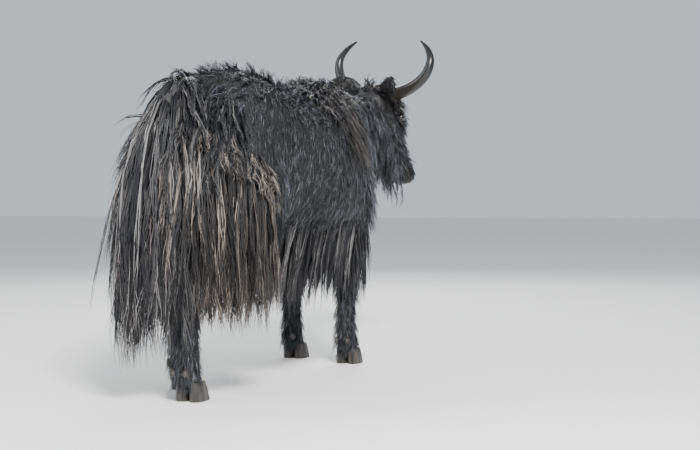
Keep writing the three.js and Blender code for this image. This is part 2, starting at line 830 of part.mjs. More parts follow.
// Head: a forelock over the brow, tufts between the horns, and a beard along the jaws
for (const across of spread(-66, 66, 4))
  grow("head", {
    root: face.point(0.9, degrees(90 - across * 0.9)),
    lie: headDown.clone().addScaledVector(headRight, across / 150).normalize(),
    length: 120,
    wide: 34,
    thick: 13,
    over: [face],
    weight: 0.2,
  });
for (const across of spread(-50, 50, 3))
  grow("head", {
    root: face.point(0.45, degrees(90 - across)),
    lie: vec(across / 90, -0.6, 0.7).normalize(),
    length: 70,
    wide: 34,
    thick: 13,
    over: [face],
    weight: 0.4,
  });
for (const t of spread(2.4, 6.2, 2))
  for (const turn of [-60, -120])
    grow("head", {
      root: face.point(t, degrees(turn)),
      lie: vec(0, -0.3, -1).normalize(),
      length: 95 - 8 * t,
      wide: 40,
      thick: 13,
      over: [face],
      weight: 0.3,
    });

// Shanks: feathering down the back of each leg
for (const [name, form] of Object.entries(legForms)) {
  const { hand, kind } = FEET[name];
  for (const [t, turn] of [[kind === "hind" ? 4 : 3.7, -90], [5.1, -90]])
    grow(`${name}_shank`, {
      root: form.point(t, degrees(turn)),
      lie: vec(0.1 * hand, -0.35, -1).normalize(),
      length: 110,
      wide: 42,
      thick: 14,
      over: [form],
      weight: 0.3,
      reach: 75,
    });
}

// Each coat is cut clear of every other node, then fused to its own
const swollen = {};
for (const [name, solid] of Object.entries(nodes)) {
  const mesh = largest(solid).getMesh();
  const geometry = new THREE.BufferGeometry();
  geometry.setAttribute(
    "position",
    new THREE.BufferAttribute(new Float32Array(mesh.vertProperties), 3),
  );
  geometry.setIndex(new THREE.BufferAttribute(mesh.triVerts, 1));
  swollen[name] = grownSolid(geometry, 2.5 * GAP);
}
function boxesMeet(a, b) {
  const [p, q] = [a.boundingBox(), b.boundingBox()];
  return [0, 1, 2].every((i) => p.min[i] < q.max[i] && q.min[i] < p.max[i]);
}
const CLEAR_FORMS = {
  shoulders: [neck, legForms.fore_right, legForms.fore_left],
  neck: [trunk],
  head: [hornForms.right, hornForms.left, earForms.right, earForms.left],
};
const CLEARING_ORDER = Object.keys(coat);
const taken = [];
for (const name of CLEARING_ORDER) {
  let locks = wasm.Manifold.union(coat[name].map((lock) => lock.solid));
  for (const [other, solid] of Object.entries(swollen))
    if (other !== name && boxesMeet(locks, solid)) locks = locks.subtract(solid);
  for (const earlier of taken)
    if (boxesMeet(locks, earlier)) locks = locks.subtract(earlier);
  for (const form of CLEAR_FORMS[name] ?? []) locks = locks.subtract(form.solid(GAP));
  taken.push(wasm.Manifold.union(coat[name].map((lock) => lock.grown)));
  nodes[name] = nodes[name].add(locks);
}

// The pieces, moved so that the origin is under the middle of the whole
const kept = Object.entries(nodes).map(([name, solid]) => [name, largest(solid)]);
const box = new THREE.Box3();
for (const [, solid] of kept) {
  const { min, max } = solid.boundingBox();
  box.expandByPoint(vec(...min));
  box.expandByPoint(vec(...max));
}
const middle = box.getCenter(vec(0, 0, 0));
const group = new THREE.Group();
for (const [name, solid] of kept) {
  const mesh = solid.translate(-middle.x, -middle.y, 0).getMesh();
  const geometry = new THREE.BufferGeometry();
  geometry.setAttribute(
    "position",
    new THREE.BufferAttribute(new Float32Array(mesh.vertProperties), 3),
  );
  geometry.setIndex(new THREE.BufferAttribute(mesh.triVerts, 1));
  const piece = new THREE.Mesh(geometry, new THREE.MeshStandardMaterial());
  piece.name = name;
  group.add(piece);
}
export default group;
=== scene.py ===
import math

import bmesh
import bpy
import numpy as np
from mathutils import Matrix, Vector
from mathutils.bvhtree import BVHTree


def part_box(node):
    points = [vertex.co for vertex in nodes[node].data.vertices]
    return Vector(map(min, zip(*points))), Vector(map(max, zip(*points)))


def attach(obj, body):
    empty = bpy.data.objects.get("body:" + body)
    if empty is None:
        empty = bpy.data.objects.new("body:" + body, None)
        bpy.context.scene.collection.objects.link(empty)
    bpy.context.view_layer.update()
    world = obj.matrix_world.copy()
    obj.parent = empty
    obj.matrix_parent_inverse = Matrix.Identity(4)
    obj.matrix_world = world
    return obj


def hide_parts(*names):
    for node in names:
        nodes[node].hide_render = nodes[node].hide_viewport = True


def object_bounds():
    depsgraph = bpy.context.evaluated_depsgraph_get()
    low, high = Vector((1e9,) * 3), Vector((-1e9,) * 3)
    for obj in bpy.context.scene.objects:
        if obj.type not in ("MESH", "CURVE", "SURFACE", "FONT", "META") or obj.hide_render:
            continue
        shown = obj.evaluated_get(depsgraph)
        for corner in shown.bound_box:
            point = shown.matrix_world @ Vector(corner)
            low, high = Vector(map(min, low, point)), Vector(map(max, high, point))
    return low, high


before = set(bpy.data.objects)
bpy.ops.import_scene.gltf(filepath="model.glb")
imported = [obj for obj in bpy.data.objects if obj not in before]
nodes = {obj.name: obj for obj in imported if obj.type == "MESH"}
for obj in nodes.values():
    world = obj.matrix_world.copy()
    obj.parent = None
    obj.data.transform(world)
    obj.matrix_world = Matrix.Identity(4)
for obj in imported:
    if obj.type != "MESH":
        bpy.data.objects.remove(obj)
cad_low, cad_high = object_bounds()

# Where the animal stands. The body is drawn about a line under the middle of the barrel, and the
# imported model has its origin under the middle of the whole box, so this is the step between them.
HIP_CUT = 0.2348
barrel_low, barrel_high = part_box("barrel")
stand = Vector(((barrel_low.x + barrel_high.x) / 2, barrel_low.y + HIP_CUT, 0))


# Skin: one hide over trunk, neck, head, legs, dock and udder. Each part is a loft of rounded
# rings, and the lofts are then grown together into a single closed skin with no seam.
def flowing(stations, steps):
    """Stations in between the given ones, on a smooth curve through them."""
    rows = np.array(stations, float)
    path = []
    for i in range(len(rows) - 1):
        before, here, there, after = (
            rows[max(i - 1, 0)],
            rows[i],
            rows[i + 1],
            rows[min(i + 2, len(rows) - 1)],
        )
        leave, arrive = (there - before) / 2, (after - here) / 2
        for f in np.arange(steps) / steps:
            path.append(
                (2 * f**3 - 3 * f**2 + 1) * here
                + (f**3 - 2 * f**2 + f) * leave
                + (3 * f**2 - 2 * f**3) * there
                + (f**3 - f**2) * arrive
            )
    return np.array(path + [rows[-1]])


def ringed(mesh, stations, side=Vector((1, 0, 0)), around=32, steps=4, slim=0.0):
    """A closed loft. A station is x, y, z, half width, reach above, reach below and squareness."""
    path = flowing(stations, steps)
    loops = []
    for i, (x, y, z, wide, top, low, square) in enumerate(path):
        along = Vector(path[min(i + 1, len(path) - 1)][:3] - path[max(i - 1, 0)][:3]).normalized()
        across = (side - along * side.dot(along)).normalized()
        up = across.cross(along)
        made = bmesh.ops.create_circle(mesh, segments=around, radius=1)["verts"]
        for vert in made:
            c, s = vert.co.x, vert.co.y
            reach = (top if s > 0 else low) - slim
            vert.co = (
                Vector((x, y, z))
                + across * math.copysign(abs(c) ** (2 / square), c) * (wide - slim)
                + up * math.copysign(abs(s) ** (2 / square), s) * reach
            )
        loops.append(made)
    rims = []
    for made in loops:
        inside = set(made)
        rims.append([e for v in made for e in v.link_edges if e.other_vert(v) in inside])
    for first, second in zip(rims, rims[1:]):
        bmesh.ops.bridge_loops(mesh, edges=list(set(first) | set(second)))
    for rim in (rims[0], rims[-1]):
        bmesh.ops.holes_fill(mesh, edges=list(set(rim)))
    bmesh.ops.recalc_face_normals(mesh, faces=mesh.faces)


# Trunk: its rings are given along the back, with the line of the back, the line of the belly and
# half the width as shares of these sizes. The skin lies under the coat by the coat's depth.
GIRTH = 0.29
TRUNK = 1.3
WITHERS = 1.12
WIDEST_AT = 0.46
COAT_DEPTH = 0.014
trunk_line = [
    (-0.5, 0.86, 0.73, 0.18, 2.3),
    (-0.485, 0.9, 0.65, 0.42, 2.3),
    (-0.43, 0.95, 0.55, 0.63, 2.3),
    (-0.34, 0.978, 0.48, 0.77, 2.4),
    (-0.235, 0.98, 0.435, 0.84, 2.5),
    (-0.1, 0.945, 0.4, 0.93, 2.3),
    (0.04, 0.93, 0.38, 1, 2.3),
    (0.18, 0.965, 0.385, 0.95, 2.3),
    (0.3, 1, 0.4, 0.8, 2.3),
    (0.4, 0.965, 0.435, 0.66, 2.3),
    (0.47, 0.89, 0.5, 0.48, 2.3),
    (0.5, 0.82, 0.57, 0.26, 2.3),
]
hide = bmesh.new()
trunk_stations = []
for along, back, belly, wide, square in trunk_line:
    mid = belly + WIDEST_AT * (back - belly)
    trunk_stations.append(
        (
            0,
            along * TRUNK,
            mid * WITHERS,
            wide * GIRTH,
            (back - mid) * WITHERS,
            (mid - belly) * WITHERS,
            square,
        )
    )
ringed(hide, trunk_stations, around=48, slim=COAT_DEPTH)

# Neck: from inside the shoulders up to the poll, bending to the animal's right.
neck_stations = [
    (0, 0.38, 0.8, 0.14, 0.24, 0.24, 2.2),
    (0.002, 0.52, 0.835, 0.142, 0.232, 0.235, 2.2),
    (0.022, 0.64, 0.885, 0.13, 0.192, 0.205, 2.2),
    (0.055, 0.745, 0.94, 0.114, 0.152, 0.165, 2.2),
    (0.084, 0.835, 0.985, 0.098, 0.112, 0.122, 2.2),
]
ringed(hide, neck_stations, around=36, slim=COAT_DEPTH)

# Head: it has its own axes, across to its right, down its length and out to its front, because it
# is turned to the right and its nose points down. Its rings are given down its length.
HEAD = 0.425
POLL = Vector((0.096, 0.868, 1.126))
BROW_DEPTH = 0.075
HEAD_TURN, NOSE_DOWN = 21, 57
yaw, pitch = math.radians(HEAD_TURN), math.radians(NOSE_DOWN)
head_right = Vector((math.cos(yaw), -math.sin(yaw), 0))
head_down = Vector(
    (math.sin(yaw) * math.cos(pitch), math.cos(yaw) * math.cos(pitch), -math.sin(pitch))
)
head_front = head_right.cross(head_down)
skull_back = POLL - head_front * BROW_DEPTH


def on_head(across, down, front):
    return skull_back + head_right * across + head_down * down + head_front * front


FACE_DEPTH = 0.005
head_stations = [
    (*on_head(0, down * HEAD, 0), wide, top, low, square)
    for down, wide, top, low, square in (
        (-0.09, 0.044, 0.04, 0.05, 2.2),
        (-0.02, 0.084, 0.072, 0.092, 2.2),
        (0.1, 0.099, 0.086, 0.112, 2.2),
        (0.22, 0.103, 0.088, 0.118, 2.2),
        (0.34, 0.1, 0.082, 0.12, 2.4),
        (0.46, 0.084, 0.073, 0.108, 2.4),
        (0.6, 0.066, 0.062, 0.088, 2.2),
        (0.74, 0.057, 0.053, 0.069, 2.2),
        (0.86, 0.062, 0.05, 0.06, 2.5),
        (0.95, 0.062, 0.046, 0.052, 2.6),
        (1, 0.046, 0.03, 0.034, 2.4),
    )
]
ringed(hide, head_stations, side=head_right, around=40, steps=5, slim=FACE_DEPTH)

# Legs: thigh or upper arm, joint, shank and pastern down to the hoof. Each foot has its side, and
# its place across and along. The joints between are drawn from there.
HOOF_TOP = 0.062
SHANK_DEPTH = 0.004
feet = {
    "hind_right": (1, 0.032, -0.618),
    "hind_left": (-1, 0.112, -0.41),
    "fore_right": (1, 0.135, 0.425),
    "fore_left": (-1, 0.135, 0.5),
}
leg_lines = {}
for name, (hand, x, y) in feet.items():
    if name.startswith("hind"):
        line = [
            (0.118, -0.4, 0.85, 0.096, 0.13, 0.13, 2.2),
            (0.15, -0.42, 0.72, 0.098, 0.16, 0.15, 2.2),
            (0.152, -0.425, 0.59, 0.084, 0.13, 0.125, 2.2),
            (x * 0.45 + 0.075, y * 0.5 - 0.21, 0.47, 0.058, 0.078, 0.078, 2.2),
            (x * 0.7 + 0.028, y - 0.012, 0.355, 0.04, 0.048, 0.054, 2.2),
            (x * 0.85 + 0.012, y - 0.014, 0.24, 0.033, 0.037, 0.039, 2.2),
            (x, y - 0.012, 0.125, 0.04, 0.041, 0.044, 2.2),
            (x, y - 0.002, HOOF_TOP - 0.008, 0.042, 0.042, 0.04, 2.2),
        ]
    else:
        line = [
            (0.15, 0.4, 0.76, 0.074, 0.12, 0.12, 2.2),
            (0.158, 0.39, 0.62, 0.076, 0.108, 0.112, 2.2),
            (0.152, 0.385, 0.5, 0.062, 0.082, 0.084, 2.2),
            (x * 0.5 + 0.073, y - 0.034, 0.4, 0.048, 0.054, 0.056, 2.2),
            (x * 0.8 + 0.03, y - 0.016, 0.3, 0.044, 0.048, 0.044, 2.2),
            (x * 0.9 + 0.015, y - 0.016, 0.2, 0.034, 0.037, 0.038, 2.2),
            (x, y - 0.014, 0.118, 0.04, 0.041, 0.044, 2.2),
            (x, y - 0.002, HOOF_TOP - 0.008, 0.042, 0.042, 0.04, 2.2),
        ]
    leg_lines[name] = [(hand * row[0], *row[1:]) for row in line]
    ringed(hide, leg_lines[name], around=24, steps=5, slim=SHANK_DEPTH)

# Dock: the bony root of the tail, hanging under its long hair.
dock_stations = [
    (0.004, -0.56, 1.01, 0.038, 0.036, 0.036, 2.2),
    (0.004, -0.662, 0.99, 0.04, 0.036, 0.036, 2.2),
    (-0.006, -0.712, 0.91, 0.04, 0.028, 0.036, 2.2),
    (-0.036, -0.728, 0.77, 0.034, 0.026, 0.03, 2.2),
    (-0.076, -0.738, 0.6, 0.022, 0.018, 0.022, 2.2),
]
ringed(hide, dock_stations, around=16, steps=4, slim=SHANK_DEPTH)

# Udder: a small rounded bag between the hind legs, with four teats.
UDDER_WIDE, UDDER_LONG, UDDER_DEEP = 0.07, 0.092, 0.082
UDDER_BACK, UDDER_UP = 0.318, 0.44
TEAT_LENGTH, TEAT_UP = 0.075, 0.362
udder = bmesh.ops.create_icosphere(hide, subdivisions=3, radius=1)["verts"]
for vert in udder:
    x, y, z = vert.co
    vert.co = Vector((x * UDDER_WIDE, y * UDDER_LONG - UDDER_BACK, z * UDDER_DEEP + UDDER_UP))
for x in (-0.03, 0.03):
    for y in (-0.352, -0.292):
        teat = bmesh.ops.create_cone(
            hide, segments=12, radius1=0.009, radius2=0.012, depth=TEAT_LENGTH, cap_ends=True
        )["verts"]
        bmesh.ops.translate(hide, verts=teat, vec=(x, y, TEAT_UP))

# The parts are melted into one closed hide, and its steps are smoothed away.
VOXEL = 0.0085
SMOOTHINGS = 3
rough_data = bpy.data.meshes.new("rough_hide")
hide.to_mesh(rough_data)
hide.free()
rough = bpy.data.objects.new("rough_hide", rough_data)
bpy.context.scene.collection.objects.link(rough)
melt = rough.modifiers.new("melt", "REMESH")
melt.mode = "VOXEL"
melt.voxel_size = VOXEL
melted = rough.evaluated_get(bpy.context.evaluated_depsgraph_get())
skin_mesh = bmesh.new()
skin_mesh.from_mesh(melted.to_mesh())
melted.to_mesh_clear()
bpy.data.objects.remove(rough)
for _ in range(SMOOTHINGS):
    bmesh.ops.smooth_vert(
        skin_mesh,
        verts=skin_mesh.verts,
        factor=0.5,
        use_axis_x=True,
        use_axis_y=True,
        use_axis_z=True,
    )


def head_place(point):
    offset = point - skull_back
    return offset.dot(head_right), offset.dot(head_down), offset.dot(head_front)


# Face: the hide of the head is cut finer, then shaped: sockets and lids round the eyeballs, the
# brow over each eye and a hollow cheek below it, flared nostrils, and the line between the lips.
def near_face(vert, reach, low, high):
    across, down, front = head_place(vert.co)
    return low < down < high and math.hypot(across, front) < reach


face_edges = [e for e in skin_mesh.edges if all(near_face(v, 0.16, 0.02, 0.46) for v in e.verts)]
bmesh.ops.subdivide_edges(skin_mesh, edges=face_edges, cuts=1, use_grid_fill=True)
EYE_PLACE = (0.091, 0.124, 0.034)
EYE_BALL = 0.019
ORBIT = 0.05
LID = 0.0045
LIDS_LONG, LIDS_APART = 0.019, 0.0095
BROW_RISE = 0.006
NOSTRIL_DOWN, NOSTRIL_FRONT = 0.412, 0.016
NOSTRIL_RIM, NOSTRIL_PIT = 0.004, 0.014
MOUTH_FROM = 0.33
MOUTH_DEPTH, MOUTH_WIDE = 0.007, 0.0035


def bell(distance, width):
    return math.exp(-((distance / width) ** 2))


for vert in skin_mesh.verts:
    across, down, front = head_place(vert.co)
    if not -0.03 < down < 0.47 or math.hypot(across, front) > 0.17:
        continue
    hand = 1 if across > 0 else -1
    side = abs(across)
    push = 0.0
    # the brow stands out over the eye, and the cheek is hollow below it
    push += BROW_RISE * bell(math.hypot(down - 0.1, front - 0.062), 0.035) * (side > 0.04)
    push -= BROW_RISE * bell(math.hypot(down - 0.22, front - 0.03), 0.05) * (side > 0.03)
    outward = Vector((across, 0, front)).normalized()
    move = head_right * outward.x * push + head_front * outward.z * push
    # eye: a rounded orbit, with an almond opening between the lids
    eye = Vector((EYE_PLACE[0] * hand, EYE_PLACE[1], EYE_PLACE[2]))
    here = Vector((across, down, front))
    reach = (here - eye).length
    if reach < ORBIT and side > ORBIT:
        away = (here - eye).normalized()
        lid = EYE_BALL + LID
        opening = (abs(down - eye.y) / LIDS_LONG) ** 2 + (abs(front - eye.z) / LIDS_APART) ** 2
        if opening < 1:
            target = EYE_BALL - 0.004
        elif opening < 2.2:
            target = lid
        else:
            target = max(reach, lid - 0.001)
        if reach < lid + 0.01 or opening < 1:
            here = eye + away * target
            vert.co = on_head(*here)
            continue
    # nostrils: a slanting pit with a raised rim
    nostril = math.hypot(
        (down - NOSTRIL_DOWN) / 0.016,
        (front - NOSTRIL_FRONT - (down - NOSTRIL_DOWN) * 0.5) / 0.010,
    )
    if side > 0.02 and down > 0.38:
        rim = bell(nostril - 1.25, 0.5) * NOSTRIL_RIM
        pit = NOSTRIL_PIT * max(0.0, 1 - nostril**2)
        move += head_right * hand * (rim - pit)
    # mouth: a groove round the muzzle
    if down > MOUTH_FROM:
        groove = bell(front + 0.022 + 0.02 * (HEAD - down), MOUTH_WIDE)
        depth = MOUTH_DEPTH * groove * min(1, (down - MOUTH_FROM) / 0.02)
        centre = Vector((0, 0.39, -0.01))
        inward = (centre - here).normalized()
        move += (head_right * inward.x + head_down * inward.y + head_front * inward.z) * depth
    vert.co += move

skin_data = bpy.data.meshes.new("skin")
skin_mesh.to_mesh(skin_data)
skin_mesh.free()
skin_data.transform(Matrix.Translation(stand))
skin_data.polygons.foreach_set("use_smooth", [True] * len(skin_data.polygons))
skin = bpy.data.objects.new("skin", skin_data)
bpy.context.scene.collection.objects.link(skin)
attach(skin, "root")
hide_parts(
    "hindquarters",
    "barrel",
    "shoulders",
    "right_flank",
    "left_flank",
    "neck",
    "head",
    "muzzle",
    "tail",
    "brisket",
    "udder",
    *[n for n in nodes if n.endswith(("_shank", "_thigh", "_arm"))],
)


# A finish starts from one shader with a colour and a roughness.
def finish(name, colour, roughness):
    material = bpy.data.materials.new(name)
    material.use_nodes = True
    shader = material.node_tree.nodes["Principled BSDF"]
    shader.inputs["Base Color"].default_value = (*colour, 1)
    shader.inputs["Roughness"].default_value = roughness
    return material, material.node_tree, shader


hide_finish, hide_tree, hide_shader = finish("dark_hide", (0.006, 0.0055, 0.006), 0.6)
skin_data.materials.append(hide_finish)


def grained(tree, shader, scale, strength, distance, detail=4.0):
    """A fine raised grain in the surface, in the piece's own space."""
    where = tree.nodes.new("ShaderNodeTexCoord")
    noise = tree.nodes.new("ShaderNodeTexNoise")
    noise.inputs["Scale"].default_value = scale
    noise.inputs["Detail"].default_value = detail
    tree.links.new(where.outputs["Object"], noise.inputs["Vector"])
    bump = tree.nodes.new("ShaderNodeBump")
    bump.inputs["Strength"].default_value = strength
    bump.inputs["Distance"].default_value = distance
    tree.links.new(noise.outputs["Fac"], bump.inputs["Height"])
    tree.links.new(bump.outputs["Normal"], shader.inputs["Normal"])
    return where, noise


grained(hide_tree, hide_shader, scale=160, strength=0.6, distance=0.002)
# The muzzle is bare, black and damp. The udder is bare, grey-pink and matt, and its rule takes in
# the inside of the left hind leg too.
muzzle_finish, muzzle_tree, muzzle_shader = finish("bare_muzzle", (0.0025, 0.0022, 0.0025), 0.2)
grained(muzzle_tree, muzzle_shader, scale=420, strength=0.5, distance=0.0012)
muzzle_shader.inputs["Specular IOR Level"].default_value = 0.38
udder_finish, udder_tree, udder_shader = finish("udder_skin", (0.11, 0.075, 0.065), 0.55)
grained(udder_tree, udder_shader, scale=220, strength=0.5, distance=0.0015)
skin_data.materials.append(muzzle_finish)
skin_data.materials.append(udder_finish)
BARE_FROM = 0.362
MUZZLE_SLOT, UDDER_SLOT = 1, 2
for face in skin_data.polygons:
    middle = face.center - stand
    if middle.y > 0.9 and head_place(middle)[1] > BARE_FROM:
        face.material_index = MUZZLE_SLOT
    elif middle.z < 0.5 and abs(middle.x) < 0.085 and -0.42 < middle.y < -0.22:
        face.material_index = UDDER_SLOT


# Coat: hair in thin locks, each a closed tapering blade of a few faces. Guide hairs are rooted on
# the skin, laid along the body and let hang, and a tuft of finer locks then follows each guide.
def patches(data):
    """Triangles of a mesh: corners, normals, areas, and middles from where the animal stands."""
    data.calc_loop_triangles()
    spots = np.zeros(len(data.vertices) * 3)
    data.vertices.foreach_get("co", spots)
    spots = spots.reshape(-1, 3)
    corners = np.zeros(len(data.loop_triangles) * 3, int)
    data.loop_triangles.foreach_get("vertices", corners)
    corners = corners.reshape(-1, 3)
    a, b, c = (spots[corners[:, i]] for i in range(3))
    normal = np.cross(b - a, c - a)
    area = np.linalg.norm(normal, axis=1) / 2
    normal = normal / np.maximum(area[:, None] * 2, 1e-12)
    tree = BVHTree.FromPolygons([tuple(p) for p in spots], [tuple(k) for k in corners])
    middle = (a + b + c) / 3 - np.array(stand)
    return {"a": a, "b": b, "c": c, "normal": normal, "area": area, "middle": middle, "tree": tree}


skin_patches = patches(skin_data)
SEED = 20263
chance = np.random.default_rng(SEED)


def lengthwise(v):
    """The same directions, each one unit long."""
    return v / np.maximum(np.linalg.norm(v, axis=-1, keepdims=True), 1e-9)


CROWD = 2.6  # roots drawn for each one kept


def rooted(patch, where, spacing):
    """Root points on a mesh where a mask of its patches is true, about evenly spaced."""
    chosen = np.flatnonzero(where)
    share = patch["area"][chosen] / patch["area"][chosen].sum()
    count = int(patch["area"][chosen].sum() / spacing**2 * CROWD)
    pick = chosen[chance.choice(len(chosen), count, p=share)]
    u, v = chance.random((2, count, 1))
    flip = u + v > 1
    u, v = np.where(flip, 1 - u, u), np.where(flip, 1 - v, v)
    a, b, c = patch["a"][pick], patch["b"][pick], patch["c"][pick]
    place = a + (b - a) * u + (c - a) * v
    cells = np.floor(place / spacing).astype(int)
    _, first = np.unique(cells, axis=0, return_index=True)
    return place[first], patch["normal"][pick[first]]


GROUND_GAP = 0.02
ROOT_SINK = 0.006


def combed(patch, roots, normals, lie, lengths, steps, hang, lift):
    """Guide paths: along the lie, sinking with their weight, never into the body."""
    count = len(roots)
    paths = np.zeros((count, steps + 1, 3))
    outs = np.zeros((count, steps + 1, 3))
    for g in range(count):
        place = Vector(roots[g])
        out = Vector(normals[g])
        way = Vector(lie[g])
        way = (way - out * way.dot(out) * 0.8).normalized()
        step = lengths[g] / steps
        paths[g, 0] = place - out * ROOT_SINK
        outs[g, 0] = out
        for k in range(1, steps + 1):
            way = (way + Vector((0, 0, -hang))).normalized()
            place = place + way * step
            spot, normal, _, distance = patch["tree"].find_nearest(place)
            above = (place - spot).dot(normal)
            need = lift[g] * min(1.0, 0.35 + k / steps)
            if distance < 0.2 and above < need:
                place = spot + normal * need
                way = (place - Vector(paths[g, k - 1])).normalized()
            if distance < 0.12:
                out = normal
            if place.z < GROUND_GAP:
                place.z = GROUND_GAP
            paths[g, k] = place
            outs[g, k] = out
    return paths, outs


LOCK_DEPTH = 0.6  # how thick a lock is, as a share of its width
TIP_GAP = 0.012  # the least height of any hair over the ground
TUFT_PATCH = 0.003  # the side of a lock's own patch in the unwrapped skin


def coat_piece(
    name, paths, outs, tone, tuft, spread, gather, wide, curl, material, unwrap, shorten
):
    """A joined mesh of fine locks, a tuft of them round every guide path."""
    guides, rows, _ = paths.shape
    total = guides * tuft
    owner = np.repeat(np.arange(guides), tuft)
    path = paths[owner]
    out = outs[owner]
    root_out = out[:, :1]
    along = lengthwise(path[:, 1:2] - path[:, :1])
    cross_a = lengthwise(np.cross(along, root_out))
    turn = chance.random((total, 1, 1)) * 2 * np.pi
    radius = np.sqrt(chance.random((total, 1, 1))) * spread
    share = (np.arange(rows) / (rows - 1))[None, :, None]
    drawn = 1 - (1 - gather) * np.sin(np.minimum(share * 1.6, 1) * np.pi / 2)
    drawn = drawn + 0.35 * np.maximum(share - 0.6, 0)
    offset = cross_a * np.cos(turn) * radius * drawn
    offset = offset + lengthwise(np.cross(cross_a, root_out)) * np.sin(turn) * radius * (1 - share)
    offset = offset + root_out * np.sin(turn) * radius * 0.8 * drawn * np.minimum(share * 3, 1)
    # each fine lock stops a little short of its guide
    keep = 1 - shorten * chance.random((total, 1)) ** 1.5
    at = np.clip(np.arange(rows)[None] * keep, 0, rows - 1.001)
    low = at.astype(int)
    part = (at - low)[..., None]
    index = np.arange(total)[:, None]
    line = path[index, low] * (1 - part) + path[index, low + 1] * part
    facing = lengthwise(out[index, low] * (1 - part) + out[index, low + 1] * part)
    reach = np.linalg.norm(path[:, -1] - path[:, 0], axis=1)[:, None, None]
    phase = chance.random((2, total, 1, 1)) * 2 * np.pi
    pace = chance.uniform(2.2, 4.2, (total, 1, 1))
    sway = curl * reach * share
    line = line + offset + cross_a * np.sin(phase[0] + share * pace * np.pi) * sway
    line = line + root_out * np.sin(phase[1] + share * pace * 2.3) * sway * 0.5
    line[:, :, 2] = np.maximum(line[:, :, 2], TIP_GAP)
    ahead = np.empty_like(line)
    ahead[:, :-1] = line[:, 1:] - line[:, :-1]
    ahead[:, -1] = ahead[:, -2]
    ahead = lengthwise(ahead)
    across = lengthwise(np.cross(ahead, facing))
    face = np.cross(across, ahead)
    body = wide * chance.uniform(0.7, 1.3, (total, 1, 1)) / 2
    taper = np.sqrt(np.clip(1 - share[:, :-1] ** 1.6, 0.02, 1))
    half = body * taper
    core = line[:, :-1]
    rings = np.stack(
        (
            core + across[:, :-1] * half,
            core + face[:, :-1] * half * LOCK_DEPTH,
            core - across[:, :-1] * half,
        ),
        axis=2,
    )
    rings = rings.reshape(total, (rows - 1) * 3, 3)
    verts = np.concatenate((rings, line[:, -1:]), axis=1)
    per = verts.shape[1]
    quads = []
    for k in range(rows - 2):
        for j in range(3):
            a, b = k * 3 + j, k * 3 + (j + 1) % 3
            quads.append((a, a + 3, b + 3, b))
    end = (rows - 2) * 3
    tris = [(end + j, per - 1, end + (j + 1) % 3) for j in range(3)] + [(0, 1, 2)]
    start = (np.arange(total) * per)[:, None, None]
    quad_index = (np.array(quads)[None] + start).reshape(-1)
    tri_index = (np.array(tris)[None] + start).reshape(-1)
    mesh = bpy.data.meshes.new(name)
    flat = verts.reshape(-1, 3)
    mesh.vertices.add(len(flat))
    mesh.vertices.foreach_set("co", flat.astype(np.float32).ravel())
    loops = np.concatenate((quad_index, tri_index))
    n_quads, n_tris = len(quad_index) // 4, len(tri_index) // 3
    mesh.loops.add(len(loops))
    mesh.loops.foreach_set("vertex_index", loops.astype(np.int32))
    mesh.polygons.add(n_quads + n_tris)
    starts = np.concatenate((np.arange(n_quads) * 4, n_quads * 4 + np.arange(n_tris) * 3))
    mesh.polygons.foreach_set("loop_start", starts.astype(np.int32))
    mesh.polygons.foreach_set("use_smooth", np.ones(len(starts), bool))
    mesh.update(calc_edges=True)
    # tone runs from root to tip, lightness differs from lock to lock at random, and paleness,
    # partly painted highlight, from tuft to tuft
    rise = np.concatenate((np.repeat(np.arange(rows - 1), 3), [rows - 1])) / (rows - 1)
    rise = np.tile(rise, total)
    own = np.repeat(chance.random(total), per)
    shared = np.repeat(np.repeat(tone, tuft), per)
    colours = np.stack((rise, own, shared, np.ones_like(own)), axis=1)
    layer = mesh.color_attributes.new("hair", "FLOAT_COLOR", "POINT")
    layer.data.foreach_set("color", colours.astype(np.float32).ravel())
    # every lock is a small patch at its root's place on the unwrapped skin
    root_u, root_v = unwrap(path[:, 0] - np.array(stand))
    u = np.repeat(root_u, per) + TUFT_PATCH * (rise - 0.5)
    ring_place = np.tile(np.concatenate((np.tile([0.0, 0.5, 1.0], rows - 1), [0.5])), total)
    v = np.repeat(root_v, per) + TUFT_PATCH * (ring_place - 0.5)
    uv = mesh.uv_layers.new(name="OFBake")
    corners = np.stack((u[loops], v[loops]), axis=1)
    uv.data.foreach_set("uv", corners.astype(np.float32).ravel())
    piece = bpy.data.objects.new(name, mesh)
    bpy.context.scene.collection.objects.link(piece)
    mesh.materials.append(material)
    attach(piece, "root")


def around_body(place):
    """The skin of the trunk unrolled: along the back, and round from the belly."""
    u = (place[:, 1] + 0.8) / 1.8
    v = np.arctan2(place[:, 0], place[:, 2] - 0.75) / (2 * np.pi) + 0.5
    return 0.01 + 0.98 * u, 0.01 + 0.98 * v


def around_head(place):
    """The skin of the head unrolled: down the face, and round from the throat."""
    offset = place - np.array(skull_back)
    across = offset @ np.array(head_right)
    down = offset @ np.array(head_down)
    front = offset @ np.array(head_front)
    u = (down + 0.15) / 0.65
    v = np.arctan2(across, front) / (2 * np.pi) + 0.5
    return 0.01 + 0.98 * u, 0.01 + 0.98 * v


